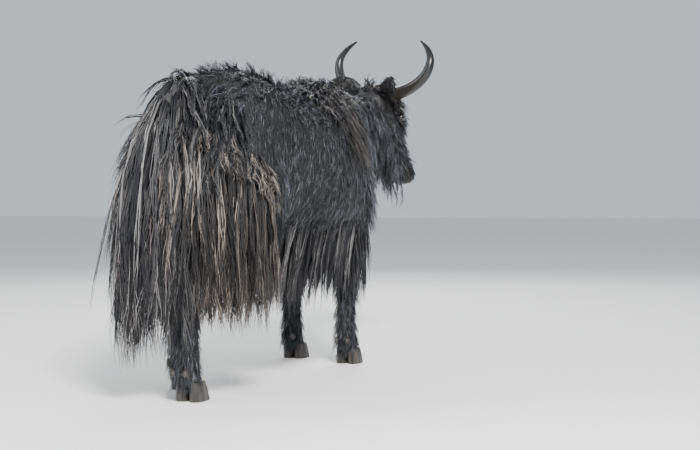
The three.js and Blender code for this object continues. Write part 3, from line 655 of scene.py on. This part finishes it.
def hair_finish(name, root, tip, pale, pale_from, sheen, roughness):
    """Dark at the root and lighter to the tip, with some tufts pale: partly greyed by sun and dust,
    partly painted highlight.
    """
    material, tree, shader = finish(name, root, roughness)
    attribute = tree.nodes.new("ShaderNodeAttribute")
    attribute.attribute_name = "hair"
    parts = tree.nodes.new("ShaderNodeSeparateColor")
    tree.links.new(attribute.outputs["Color"], parts.inputs["Color"])
    ramp = tree.nodes.new("ShaderNodeValToRGB")
    ramp.color_ramp.elements[0].position = 0.1
    ramp.color_ramp.elements[0].color = (*root, 1)
    ramp.color_ramp.elements[1].position = 1.0
    ramp.color_ramp.elements[1].color = (*tip, 1)
    tree.links.new(parts.outputs["Red"], ramp.inputs["Fac"])
    # The pale colour is partly real greying and partly painted highlight. It is mixed in by tuft
    # and by lock, and held back near the root.
    tuft_pale_and_highlight = tree.nodes.new("ShaderNodeMapRange")
    tuft_pale_and_highlight.inputs["From Min"].default_value = pale_from
    tuft_pale_and_highlight.inputs["From Max"].default_value = 1.0
    tree.links.new(parts.outputs["Blue"], tuft_pale_and_highlight.inputs["Value"])
    lock_pale_and_highlight = tree.nodes.new("ShaderNodeMapRange")
    lock_pale_and_highlight.inputs["From Min"].default_value = 0.15
    lock_pale_and_highlight.inputs["From Max"].default_value = 0.9
    tree.links.new(parts.outputs["Green"], lock_pale_and_highlight.inputs["Value"])
    weigh = tree.nodes.new("ShaderNodeMath")
    weigh.operation = "MULTIPLY"
    tree.links.new(tuft_pale_and_highlight.outputs["Result"], weigh.inputs[0])
    tree.links.new(lock_pale_and_highlight.outputs["Result"], weigh.inputs[1])
    rooted_dark = tree.nodes.new("ShaderNodeMapRange")
    rooted_dark.inputs["From Min"].default_value = 0.02
    rooted_dark.inputs["From Max"].default_value = 0.4
    rooted_dark.inputs["To Min"].default_value = 0.25
    tree.links.new(parts.outputs["Red"], rooted_dark.inputs["Value"])
    amount = tree.nodes.new("ShaderNodeMath")
    amount.operation = "MULTIPLY"
    tree.links.new(weigh.outputs["Value"], amount.inputs[0])
    tree.links.new(rooted_dark.outputs["Result"], amount.inputs[1])
    mix = tree.nodes.new("ShaderNodeMix")
    mix.data_type = "RGBA"
    tree.links.new(amount.outputs["Value"], mix.inputs["Factor"])
    tree.links.new(ramp.outputs["Color"], mix.inputs["A"])
    mix.inputs["B"].default_value = (*pale, 1)
    tree.links.new(mix.outputs["Result"], shader.inputs["Base Color"])
    shader.inputs["Specular IOR Level"].default_value = 0.32
    shader.inputs["Sheen Weight"].default_value = sheen
    shader.inputs["Sheen Roughness"].default_value = 0.45
    shader.inputs["Sheen Tint"].default_value = (0.78, 0.86, 1.0, 1)
    return material


# The pale colours of the long and tail hair are partly grey-brown weathering and partly painted
# highlight.
long_hair = hair_finish(
    "long_hair",
    root=(0.004, 0.0035, 0.0035),
    tip=(0.022, 0.019, 0.018),
    pale=(0.38, 0.33, 0.29),
    pale_from=0.36,
    sheen=0.02,
    roughness=0.4,
)
tail_hair = hair_finish(
    "tail_hair",
    root=(0.004, 0.004, 0.0045),
    tip=(0.016, 0.016, 0.018),
    pale=(0.36, 0.34, 0.335),
    pale_from=0.42,
    sheen=0.02,
    roughness=0.38,
)
# The short hair's bluish tip and blue-grey pale colour are painted sheen, the sky's reflection on
# the flat coat.
short_hair = hair_finish(
    "short_hair",
    root=(0.005, 0.005, 0.006),
    tip=(0.02, 0.021, 0.025),
    pale=(0.17, 0.175, 0.195),
    pale_from=0.3,
    sheen=0.08,
    roughness=0.33,
)
face_hair = hair_finish(
    "face_hair",
    root=(0.004, 0.0035, 0.004),
    tip=(0.012, 0.011, 0.012),
    pale=(0.05, 0.045, 0.043),
    pale_from=0.5,
    sheen=0.03,
    roughness=0.45,
)

px, py, pz = skin_patches["middle"].T
_, ny, nz = skin_patches["normal"].T
head_offset = skin_patches["middle"] - np.array(skull_back)
head_a = head_offset @ np.array(head_right)
head_d = head_offset @ np.array(head_down)
head_f = head_offset @ np.array(head_front)
of_head = (head_d > 0.0) & (np.hypot(head_a, head_f) < 0.15) & (py > 0.7)
of_head |= (head_d > -0.06) & (head_f > -0.05) & (py > 0.76)
of_dock = (py < -0.665) & (pz > 0.56) & (np.abs(px) < 0.14)
of_neck = ~of_head & (py > 0.42 + 0.2 * (pz < 0.6)) & (pz > 0.55)
of_leg = (pz < 0.44) & ~((np.abs(px) < 0.09) & (py > -0.43) & (py < -0.2))
of_udder = (pz < 0.53) & (np.abs(px) < 0.095) & (py > -0.43) & (py < -0.2)
of_body = ~(of_head | of_neck | of_leg | of_dock | of_udder)
hair_line = np.interp(py, [-0.69, -0.46, -0.42, -0.3, 0.42], [0.94, 0.75, 0.66, 0.58, 0.56])
long_zone = of_body & (pz < hair_line)
of_muzzle = head_d > 0.36


TAIL_REACH = 0.03  # how far the hair may swing back past the modelled tail
LIE_SCATTER = 0.12  # how unevenly the hair lies


def lay(
    name,
    where,
    spacing,
    lengths,
    lie,
    hang,
    lift,
    steps,
    tuft,
    spread,
    gather,
    wide,
    curl,
    material,
    unwrap,
    hem=None,
    wave=0.0,
    pale=(0.0, 1.0),
    patch=skin_patches,
    shorten=0.35,
):
    """A coat piece over the patches that where names: rooted, combed the way lie says, and tufted.

    Hang is how fast the hair turns down, lift how far it stands off the skin and hem how high it
    ends. A tuft has so many locks, a spread at the root, which gathers along its length. Wide is
    a lock's width, pale how much of the pale colour its tufts have.
    """
    roots, normals = rooted(patch, where, spacing)
    size = chance.uniform(*lengths, len(roots))
    if hem is not None:
        room = (roots[:, 2] - chance.uniform(*hem, len(roots))) / 0.97
        size = np.clip(size, None, np.maximum(room, 0.05))
    way = np.tile(np.array(lie, float), (len(roots), 1))
    way = lengthwise(way + chance.normal(0, LIE_SCATTER, way.shape) + normals * 0.05)
    lifts = lift * chance.uniform(0.4, 1.0, len(roots))
    paths, outs = combed(patch, roots, normals, way, size, steps, hang, lifts)
    if wave:
        along = lengthwise(paths[:, 1:2] - paths[:, :1])
        aside = lengthwise(np.cross(along, outs[:, :1]))
        share = (np.arange(steps + 1) / steps)[None, :, None]
        turn = chance.random((len(roots), 1, 1)) * 2 * np.pi
        pace = chance.uniform(1.5, 3.4, (len(roots), 1, 1)) * np.pi
        paths = paths + aside * np.sin(turn + share * pace) * wave * share**0.7
    # Each tuft's share of the pale colour, partly painted highlight and sheen: at random, with
    # broad patches over the body.
    x, y, z = (roots - np.array(stand)).T
    drift = 0.5 + 0.25 * (np.sin(19 * y + 7 * z + 2) + np.sin(13 * z - 9 * y + 11 * x))
    paths[:, :, 1] = np.maximum(paths[:, :, 1], cad_low.y - TAIL_REACH)
    mixed = np.clip(0.84 * chance.random(len(roots)) + 0.26 * drift - 0.05, 0, 1)
    tone = pale[0] + (pale[1] - pale[0]) * mixed
    coat_piece(
        name, paths, outs, tone, tuft, spread, gather, wide, curl, material, unwrap, shorten
    )


# Back: short dense hair over rump, back and withers, lying backward and down, in three pieces.
# Looser tufts break its outline, and longer locks fall from croup, hump and the root of the tail.
flat = of_body & (pz > hair_line - 0.05)
BACKWARD_DOWN = (0, -0.75, -0.6)
for name, low, high in (("rump", -0.8, -0.25), ("back", -0.25, 0.14), ("withers", 0.14, 0.75)):
    lay(
        f"{name}_coat",
        flat & (py >= low) & (py < high),
        spacing=0.0205,
        lengths=(0.05, 0.08),
        lie=BACKWARD_DOWN,
        hang=0.15,
        lift=0.006,
        steps=2,
        tuft=8,
        spread=0.0155,
        gather=0.8,
        wide=0.0023,
        curl=0.03,
        material=short_hair,
        unwrap=around_body,
        shorten=0.5,
    )
on_top = flat & (nz > 0.5)
lay(
    "top_tufts",
    on_top,
    spacing=0.036,
    lengths=(0.06, 0.12),
    lie=(0, -0.7, -0.1),
    hang=0.12,
    lift=0.026,
    steps=3,
    tuft=7,
    spread=0.011,
    gather=0.5,
    wide=0.0026,
    curl=0.07,
    material=short_hair,
    unwrap=around_body,
    wave=0.007,
)
lay(
    "croup_locks",
    flat & (py < -0.5) & (pz > 0.84),
    spacing=0.0205,
    lengths=(0.12, 0.22),
    lie=(-0.2, -0.25, -0.8),
    hang=0.4,
    lift=0.034,
    steps=5,
    tuft=7,
    spread=0.008,
    gather=0.5,
    wide=0.003,
    curl=0.02,
    material=tail_hair,
    unwrap=around_body,
    wave=0.013,
    pale=(0, 0.75),
)
lay(
    "hump_locks",
    flat & (py > 0.12) & (pz > 0.84),
    spacing=0.026,
    lengths=(0.1, 0.17),
    lie=(0, -0.5, -0.9),
    hang=0.25,
    lift=0.02,
    steps=4,
    tuft=6,
    spread=0.009,
    gather=0.45,
    wide=0.0028,
    curl=0.03,
    material=long_hair,
    unwrap=around_body,
    wave=0.012,
    pale=(0, 0.66),
)
lay(
    "tail_root_locks",
    of_body & (py < -0.53) & (np.abs(px) < 0.13) & (pz > 0.72),
    spacing=0.027,
    lengths=(0.16, 0.3),
    lie=(-0.1, -0.5, -0.9),
    hang=0.35,
    lift=0.05,
    steps=5,
    tuft=8,
    spread=0.009,
    gather=0.55,
    wide=0.0034,
    curl=0.02,
    material=tail_hair,
    unwrap=around_body,
    wave=0.013,
    pale=(0, 0.8),
)

# Sides and legs: long hanging hair on the thighs, the skirt under the flanks, and short hair with a
# longer feather behind it on the legs. It grows from the skin of each side.
for name, hand in (("right", 1), ("left", -1)):
    side = of_body & (pz < hair_line + 0.012) & (px * hand > 0)
    lay(
        f"{name}_thigh_coat",
        side & (py < -0.455),
        spacing=0.0185,
        lengths=(0.4, 0.62),
        lie=(0, -0.03, -1),
        hang=0.55,
        lift=0.03,
        steps=6,
        tuft=8,
        spread=0.0068,
        gather=0.6,
        wide=0.004,
        curl=0.018,
        material=long_hair,
        unwrap=around_body,
        hem=(0.19, 0.3),
        wave=0.014,
    )
    lay(
        f"{name}_thigh_roots",
        side & (pz > hair_line - 0.07) & (py < -0.44),
        spacing=0.021,
        lengths=(0.06, 0.13),
        lie=(0, -0.25, -1),
        hang=0.35,
        lift=0.03,
        steps=4,
        tuft=10,
        spread=0.01,
        gather=0.7,
        wide=0.0028,
        curl=0.08,
        material=long_hair,
        unwrap=around_body,
        wave=0.012,
        pale=(0.5, 1.0),
    )
    lay(
        f"{name}_fold_coat",
        side & (py >= -0.455) & (py < -0.24),
        spacing=0.02,
        lengths=(0.09, 0.2),
        lie=(0, -0.3, -1),
        hang=0.35,
        lift=0.012,
        steps=4,
        tuft=8,
        spread=0.011,
        gather=0.5,
        wide=0.003,
        curl=0.03,
        material=tail_hair,
        unwrap=around_body,
        pale=(0, 0.45),
    )
    lay(
        f"{name}_skirt_coat",
        side & (py >= -0.24) & (py < 0.6) & (np.abs(px) > 0.1),
        spacing=0.026,
        lengths=(0.2, 0.38),
        lie=(0, -0.15, -1),
        hang=0.4,
        lift=0.022,
        steps=5,
        tuft=8,
        spread=0.008,
        gather=0.55,
        wide=0.0038,
        curl=0.018,
        material=tail_hair,
        unwrap=around_body,
        hem=(0.2, 0.32),
        wave=0.012,
        pale=(0, 0.9),
    )
    lay(
        f"{name}_leg_coat",
        of_leg & (px * hand > 0) & (pz > 0.045),
        spacing=0.0165,
        lengths=(0.03, 0.055),
        lie=(0, -0.2, -1),
        hang=0.15,
        lift=0.008,
        steps=2,
        tuft=6,
        spread=0.0095,
        gather=0.7,
        wide=0.0023,
        curl=0.03,
        material=short_hair,
        unwrap=around_body,
        shorten=0.5,
        pale=(0, 0.8),
    )
    lay(
        f"{name}_feather",
        of_leg & (px * hand > 0) & (pz > 0.09) & (pz < 0.3) & (ny < 0.2),
        spacing=0.0165,
        lengths=(0.05, 0.085),
        lie=(0, -0.5, -1),
        hang=0.25,
        lift=0.014,
        steps=3,
        tuft=7,
        spread=0.008,
        gather=0.5,
        wide=0.0024,
        curl=0.04,
        material=short_hair,
        unwrap=around_body,
        pale=(0, 0.8),
    )

# Tail, neck and belly: the tail's long hair hangs from the dock almost to the ground, the neck is
# shaggy, and a fringe hangs from the throat and the chest.
lay(
    "tail_coat",
    of_dock,
    spacing=0.0155,
    lengths=(0.5, 0.8),
    lie=(-0.25, -0.05, -1),
    hang=0.46,
    lift=0.036,
    steps=7,
    tuft=9,
    spread=0.0085,
    gather=0.6,
    wide=0.0042,
    curl=0.018,
    material=tail_hair,
    unwrap=around_body,
    hem=(0.1, 0.24),
    wave=0.022,
)
lay(
    "neck_coat",
    of_neck & (nz > -0.3),
    spacing=0.0245,
    lengths=(0.09, 0.16),
    lie=(0, -0.45, -0.9),
    hang=0.22,
    lift=0.014,
    steps=4,
    tuft=7,
    spread=0.0115,
    gather=0.5,
    wide=0.003,
    curl=0.04,
    material=short_hair,
    unwrap=around_body,
    wave=0.01,
)
lay(
    "throat_fringe",
    of_neck & (nz <= -0.3),
    spacing=0.022,
    lengths=(0.18, 0.3),
    lie=(0, -0.1, -1),
    hang=0.4,
    lift=0.014,
    steps=5,
    tuft=9,
    spread=0.01,
    gather=0.5,
    wide=0.0032,
    curl=0.03,
    material=tail_hair,
    unwrap=around_body,
    wave=0.012,
    pale=(0, 0.9),
)
lay(
    "belly_coat",
    long_zone & (np.abs(px) <= 0.1) & (py > -0.24),
    spacing=0.03,
    lengths=(0.1, 0.18),
    lie=(0, -0.15, -1),
    hang=0.3,
    lift=0.02,
    steps=4,
    tuft=6,
    spread=0.018,
    gather=0.4,
    wide=0.0042,
    curl=0.03,
    material=tail_hair,
    unwrap=around_body,
    pale=(0, 0.6),
)

# Face: short hair down to the bare muzzle, with curls on the brow, longer hair on cheeks and jaw,
# and a forelock between the horns.
DOWN_FACE = tuple(head_down)
lay(
    "face_coat",
    of_head & ~of_muzzle,
    spacing=0.013,
    lengths=(0.013, 0.024),
    lie=DOWN_FACE,
    hang=0.05,
    lift=0.0045,
    steps=2,
    tuft=6,
    spread=0.007,
    gather=0.7,
    wide=0.0019,
    curl=0.02,
    material=face_hair,
    unwrap=around_head,
    shorten=0.5,
)
lay(
    "brow_curls",
    of_head & (head_d > -0.02) & (head_d < 0.15) & (head_f > 0.0),
    spacing=0.0165,
    lengths=(0.03, 0.06),
    lie=(head_right[0] * 0.6 + head_down[0], head_right[1] * 0.6 + head_down[1], head_down[2]),
    hang=0.12,
    lift=0.02,
    steps=3,
    tuft=8,
    spread=0.008,
    gather=0.5,
    wide=0.0022,
    curl=0.07,
    material=face_hair,
    unwrap=around_head,
    wave=0.006,
    pale=(0.1, 0.9),
)
lay(
    "cheek_hair",
    of_head & (head_d > 0.1) & (head_d < 0.33) & (np.abs(head_a) > 0.035),
    spacing=0.0165,
    lengths=(0.035, 0.06),
    lie=(head_down[0], head_down[1], head_down[2] - 0.5),
    hang=0.12,
    lift=0.012,
    steps=3,
    tuft=8,
    spread=0.008,
    gather=0.6,
    wide=0.0022,
    curl=0.04,
    material=short_hair,
    unwrap=around_head,
    wave=0.004,
    pale=(0.2, 0.9),
)
lay(
    "forelock",
    of_head & (head_d < 0.08) & (head_f > -0.02) & (np.abs(head_a) < 0.075),
    spacing=0.016,
    lengths=(0.06, 0.12),
    lie=(head_down[0], head_down[1], head_down[2] + 0.35),
    hang=0.18,
    lift=0.018,
    steps=4,
    tuft=9,
    spread=0.009,
    gather=0.5,
    wide=0.0024,
    curl=0.05,
    material=face_hair,
    unwrap=around_head,
    wave=0.009,
    pale=(0.1, 0.9),
)
lay(
    "jaw_beard",
    of_head & (head_f < -0.03) & (head_d > 0.02) & (head_d < 0.33),
    spacing=0.0175,
    lengths=(0.1, 0.2),
    lie=(0, -0.1, -1),
    hang=0.4,
    lift=0.01,
    steps=4,
    tuft=8,
    spread=0.009,
    gather=0.5,
    wide=0.0026,
    curl=0.04,
    material=short_hair,
    unwrap=around_head,
    wave=0.009,
    pale=(0.1, 0.9),
)

# Ears: short hair all over each ear of the model, lying outward, back and down.
EAR_LIE = {"right": 0.3, "left": -0.5}
for name in ("right", "left"):
    ear = patches(nodes[f"{name}_ear"].data)
    lay(
        f"{name}_ear_coat",
        np.ones(len(ear["area"]), bool),
        spacing=0.0105,
        lengths=(0.012, 0.03),
        lie=(EAR_LIE[name], -0.5, -0.6),
        hang=0.1,
        lift=0.003,
        steps=3,
        tuft=6,
        spread=0.005,
        gather=0.6,
        wide=0.0016,
        curl=0.05,
        material=face_hair,
        unwrap=around_head,
        patch=ear,
        pale=(0, 0.4),
    )


# Horns: dark keratin over bone, grown out of the skull either side of the poll. They sweep out, up
# and in again, are ringed near the root and drawn out smooth and black to the tip.
HORN_SPAN = 0.255
HORN_SIDES = 28
RING_RISE = 0.0011
RING_STEP = 0.0125
RINGS_FROM, RINGS_LONG = 0.06, 0.16
HORN_TURN, HORN_ROLL = 18, 4.5
horn_yaw, horn_roll = math.radians(HORN_TURN), math.radians(HORN_ROLL)
horn_fore = Vector((math.sin(horn_yaw), math.cos(horn_yaw), 0))
horn_right = Vector((math.cos(horn_yaw), -math.sin(horn_yaw), 0)) * math.cos(horn_roll)
horn_right -= Vector((0, 0, math.sin(horn_roll)))
horn_up = horn_right.cross(horn_fore)
horn_line = [
    (0.2, -0.008, -0.032, 0.028),
    (0.44, -0.008, -0.016, 0.028),
    (0.71, -0.004, 0.012, 0.025),
    (0.93, 0.004, 0.062, 0.021),
    (0.99, 0.014, 0.122, 0.0165),
    (0.88, 0.026, 0.172, 0.011),
    (0.7, 0.036, 0.208, 0.004),
]
horn_finish, horn_tree, horn_shader = finish("dark_horn", (0.02, 0.017, 0.014), 0.34)
horn_where, _ = grained(horn_tree, horn_shader, scale=90, strength=0.35, distance=0.001)
from_poll = horn_tree.nodes.new("ShaderNodeMapping")
from_poll.inputs["Location"].default_value = -(POLL + stand)
horn_tree.links.new(horn_where.outputs["Object"], from_poll.inputs["Vector"])
reach = horn_tree.nodes.new("ShaderNodeVectorMath")
reach.operation = "LENGTH"
horn_tree.links.new(from_poll.outputs["Vector"], reach.inputs[0])
ageing = horn_tree.nodes.new("ShaderNodeValToRGB")
ageing.color_ramp.elements[0].position = 0.11
ageing.color_ramp.elements[0].color = (0.026, 0.022, 0.018, 1)
ageing.color_ramp.elements[1].position = 0.29
ageing.color_ramp.elements[1].color = (0.004, 0.004, 0.0045, 1)
middle_tone = ageing.color_ramp.elements.new(0.2)
middle_tone.color = (0.018, 0.016, 0.014, 1)
horn_tree.links.new(reach.outputs["Value"], ageing.inputs["Fac"])
horn_tree.links.new(ageing.outputs["Color"], horn_shader.inputs["Base Color"])
for name, hand in (("right", 1), ("left", -1)):
    line = []
    for along, fore, up, radius in horn_line:
        place = POLL + horn_right * (along * HORN_SPAN * hand) + horn_fore * fore + horn_up * up
        line.append((*place, radius, radius, radius, 2))
    horn = bmesh.new()
    ringed(horn, line, side=horn_fore, around=HORN_SIDES, steps=14)
    for vert in horn.verts:
        away = (vert.co - POLL).length
        fade = max(0.0, 1 - (away - RINGS_FROM) / RINGS_LONG)
        ring = math.sin(away * 2 * math.pi / RING_STEP) * RING_RISE * fade
        vert.co += vert.normal * ring
    bmesh.ops.recalc_face_normals(horn, faces=horn.faces)
    horn_data = bpy.data.meshes.new(f"{name}_horn_sheath")
    horn.to_mesh(horn_data)
    horn.free()
    horn_data.transform(Matrix.Translation(stand))
    horn_data.polygons.foreach_set("use_smooth", [True] * len(horn_data.polygons))
    horn_data.materials.append(horn_finish)
    sheath = bpy.data.objects.new(f"{name}_horn_sheath", horn_data)
    bpy.context.scene.collection.objects.link(sheath)
    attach(sheath, "root")
    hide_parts(f"{name}_horn")

# Eyes: dark brown glassy balls set in the orbits, behind the lids.
eye_finish, _, eye_shader = finish("eye", (0.008, 0.0045, 0.003), 0.04)
eye_shader.inputs["Coat Weight"].default_value = 0.6
for name, hand in (("right", 1), ("left", -1)):
    eyeball = bmesh.new()
    bmesh.ops.create_uvsphere(eyeball, u_segments=32, v_segments=20, radius=EYE_BALL)
    place = on_head(EYE_PLACE[0] * hand, EYE_PLACE[1], EYE_PLACE[2]) + stand
    bmesh.ops.translate(eyeball, verts=eyeball.verts, vec=place)
    eye_data = bpy.data.meshes.new(f"{name}_eyeball")
    eyeball.to_mesh(eye_data)
    eyeball.free()
    eye_data.polygons.foreach_set("use_smooth", [True] * len(eye_data.polygons))
    eye_data.materials.append(eye_finish)
    ball = bpy.data.objects.new(f"{name}_eyeball", eye_data)
    bpy.context.scene.collection.objects.link(ball)
    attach(ball, "root")
    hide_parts(f"{name}_eye")

# Hooves, dewclaws and ears keep the forms of the model: worn horn, grained, and dark skin.
hoof_finish, hoof_tree, hoof_shader = finish("hoof", (0.022, 0.019, 0.016), 0.5)
hoof_where, hoof_grain = grained(hoof_tree, hoof_shader, scale=60, strength=0.5, distance=0.0015)
grow_down = hoof_tree.nodes.new("ShaderNodeMapping")
grow_down.inputs["Scale"].default_value = (1, 1, 0.12)
hoof_tree.links.new(hoof_where.outputs["Object"], grow_down.inputs["Vector"])
hoof_tree.links.new(grow_down.outputs["Vector"], hoof_grain.inputs["Vector"])
worn = hoof_tree.nodes.new("ShaderNodeValToRGB")
worn.color_ramp.elements[0].position = 0.35
worn.color_ramp.elements[0].color = (0.014, 0.012, 0.011, 1)
worn.color_ramp.elements[1].position = 0.7
worn.color_ramp.elements[1].color = (0.06, 0.05, 0.042, 1)
hoof_tree.links.new(hoof_grain.outputs["Fac"], worn.inputs["Fac"])
hoof_tree.links.new(worn.outputs["Color"], hoof_shader.inputs["Base Color"])
for name, node in nodes.items():
    if "hoof" in name or "dewclaw" in name:
        material = hoof_finish
    elif name.endswith("_ear"):
        material = hide_finish
    else:
        continue
    node.data.materials.clear()
    node.data.materials.append(material)

# Floor: a plain pale studio floor.
FLOOR_HALF = 60
floor_mesh = bmesh.new()
bmesh.ops.create_grid(floor_mesh, x_segments=1, y_segments=1, size=FLOOR_HALF)
floor_data = bpy.data.meshes.new("floor")
floor_mesh.to_mesh(floor_data)
floor_mesh.free()
floor = bpy.data.objects.new("floor", floor_data)
bpy.context.scene.collection.objects.link(floor)
floor_finish, _, _ = finish("pale_floor", (0.8, 0.79, 0.775), 0.9)
floor_data.materials.append(floor_finish)

# Camera: where the photo was taken from, low behind the right hip.
LENS, SENSOR = 61.2, 36
CAMERA_PLACE = (1.982, -3.904, 0.62)
CAMERA_HEADING, CAMERA_TILT = 23, -0.886
camera_data = bpy.data.cameras.new("camera")
camera_data.lens = LENS
camera_data.sensor_width = SENSOR
camera = bpy.data.objects.new("camera", camera_data)
camera.location = Vector(CAMERA_PLACE) + stand
heading, tilt = math.radians(CAMERA_HEADING), math.radians(CAMERA_TILT)
aim = Vector(
    (-math.sin(heading) * math.cos(tilt), math.cos(heading) * math.cos(tilt), math.sin(tilt))
)
camera.rotation_euler = aim.to_track_quat("-Z", "Y").to_euler()
bpy.context.scene.collection.objects.link(camera)
bpy.context.scene.camera = camera

# Light: one broad soft sky and three large lamps.
SKY_COLOUR, SKY_STRENGTH = (0.86, 0.92, 1.0, 1), 0.75
LAMP_AIM = (0, 0, 0.7)
world = bpy.data.worlds.new("sky")
world.use_nodes = True
world.node_tree.nodes["Background"].inputs["Color"].default_value = SKY_COLOUR
world.node_tree.nodes["Background"].inputs["Strength"].default_value = SKY_STRENGTH
bpy.context.scene.world = world
for name, place, size, power in (
    ("key", (3.2, -4.2, 4.2), 1.4, 980),
    ("fill", (-4.5, -2.5, 3.0), 3.0, 160),
    ("rim", (-1.5, 4.5, 4.0), 3.0, 240),
):
    lamp_data = bpy.data.lights.new(name, "AREA")
    lamp_data.size = size
    lamp_data.energy = power
    lamp = bpy.data.objects.new(name, lamp_data)
    lamp.location = place
    toward = Vector(LAMP_AIM) - Vector(place)
    lamp.rotation_euler = toward.to_track_quat("-Z", "Y").to_euler()
    bpy.context.scene.collection.objects.link(lamp)
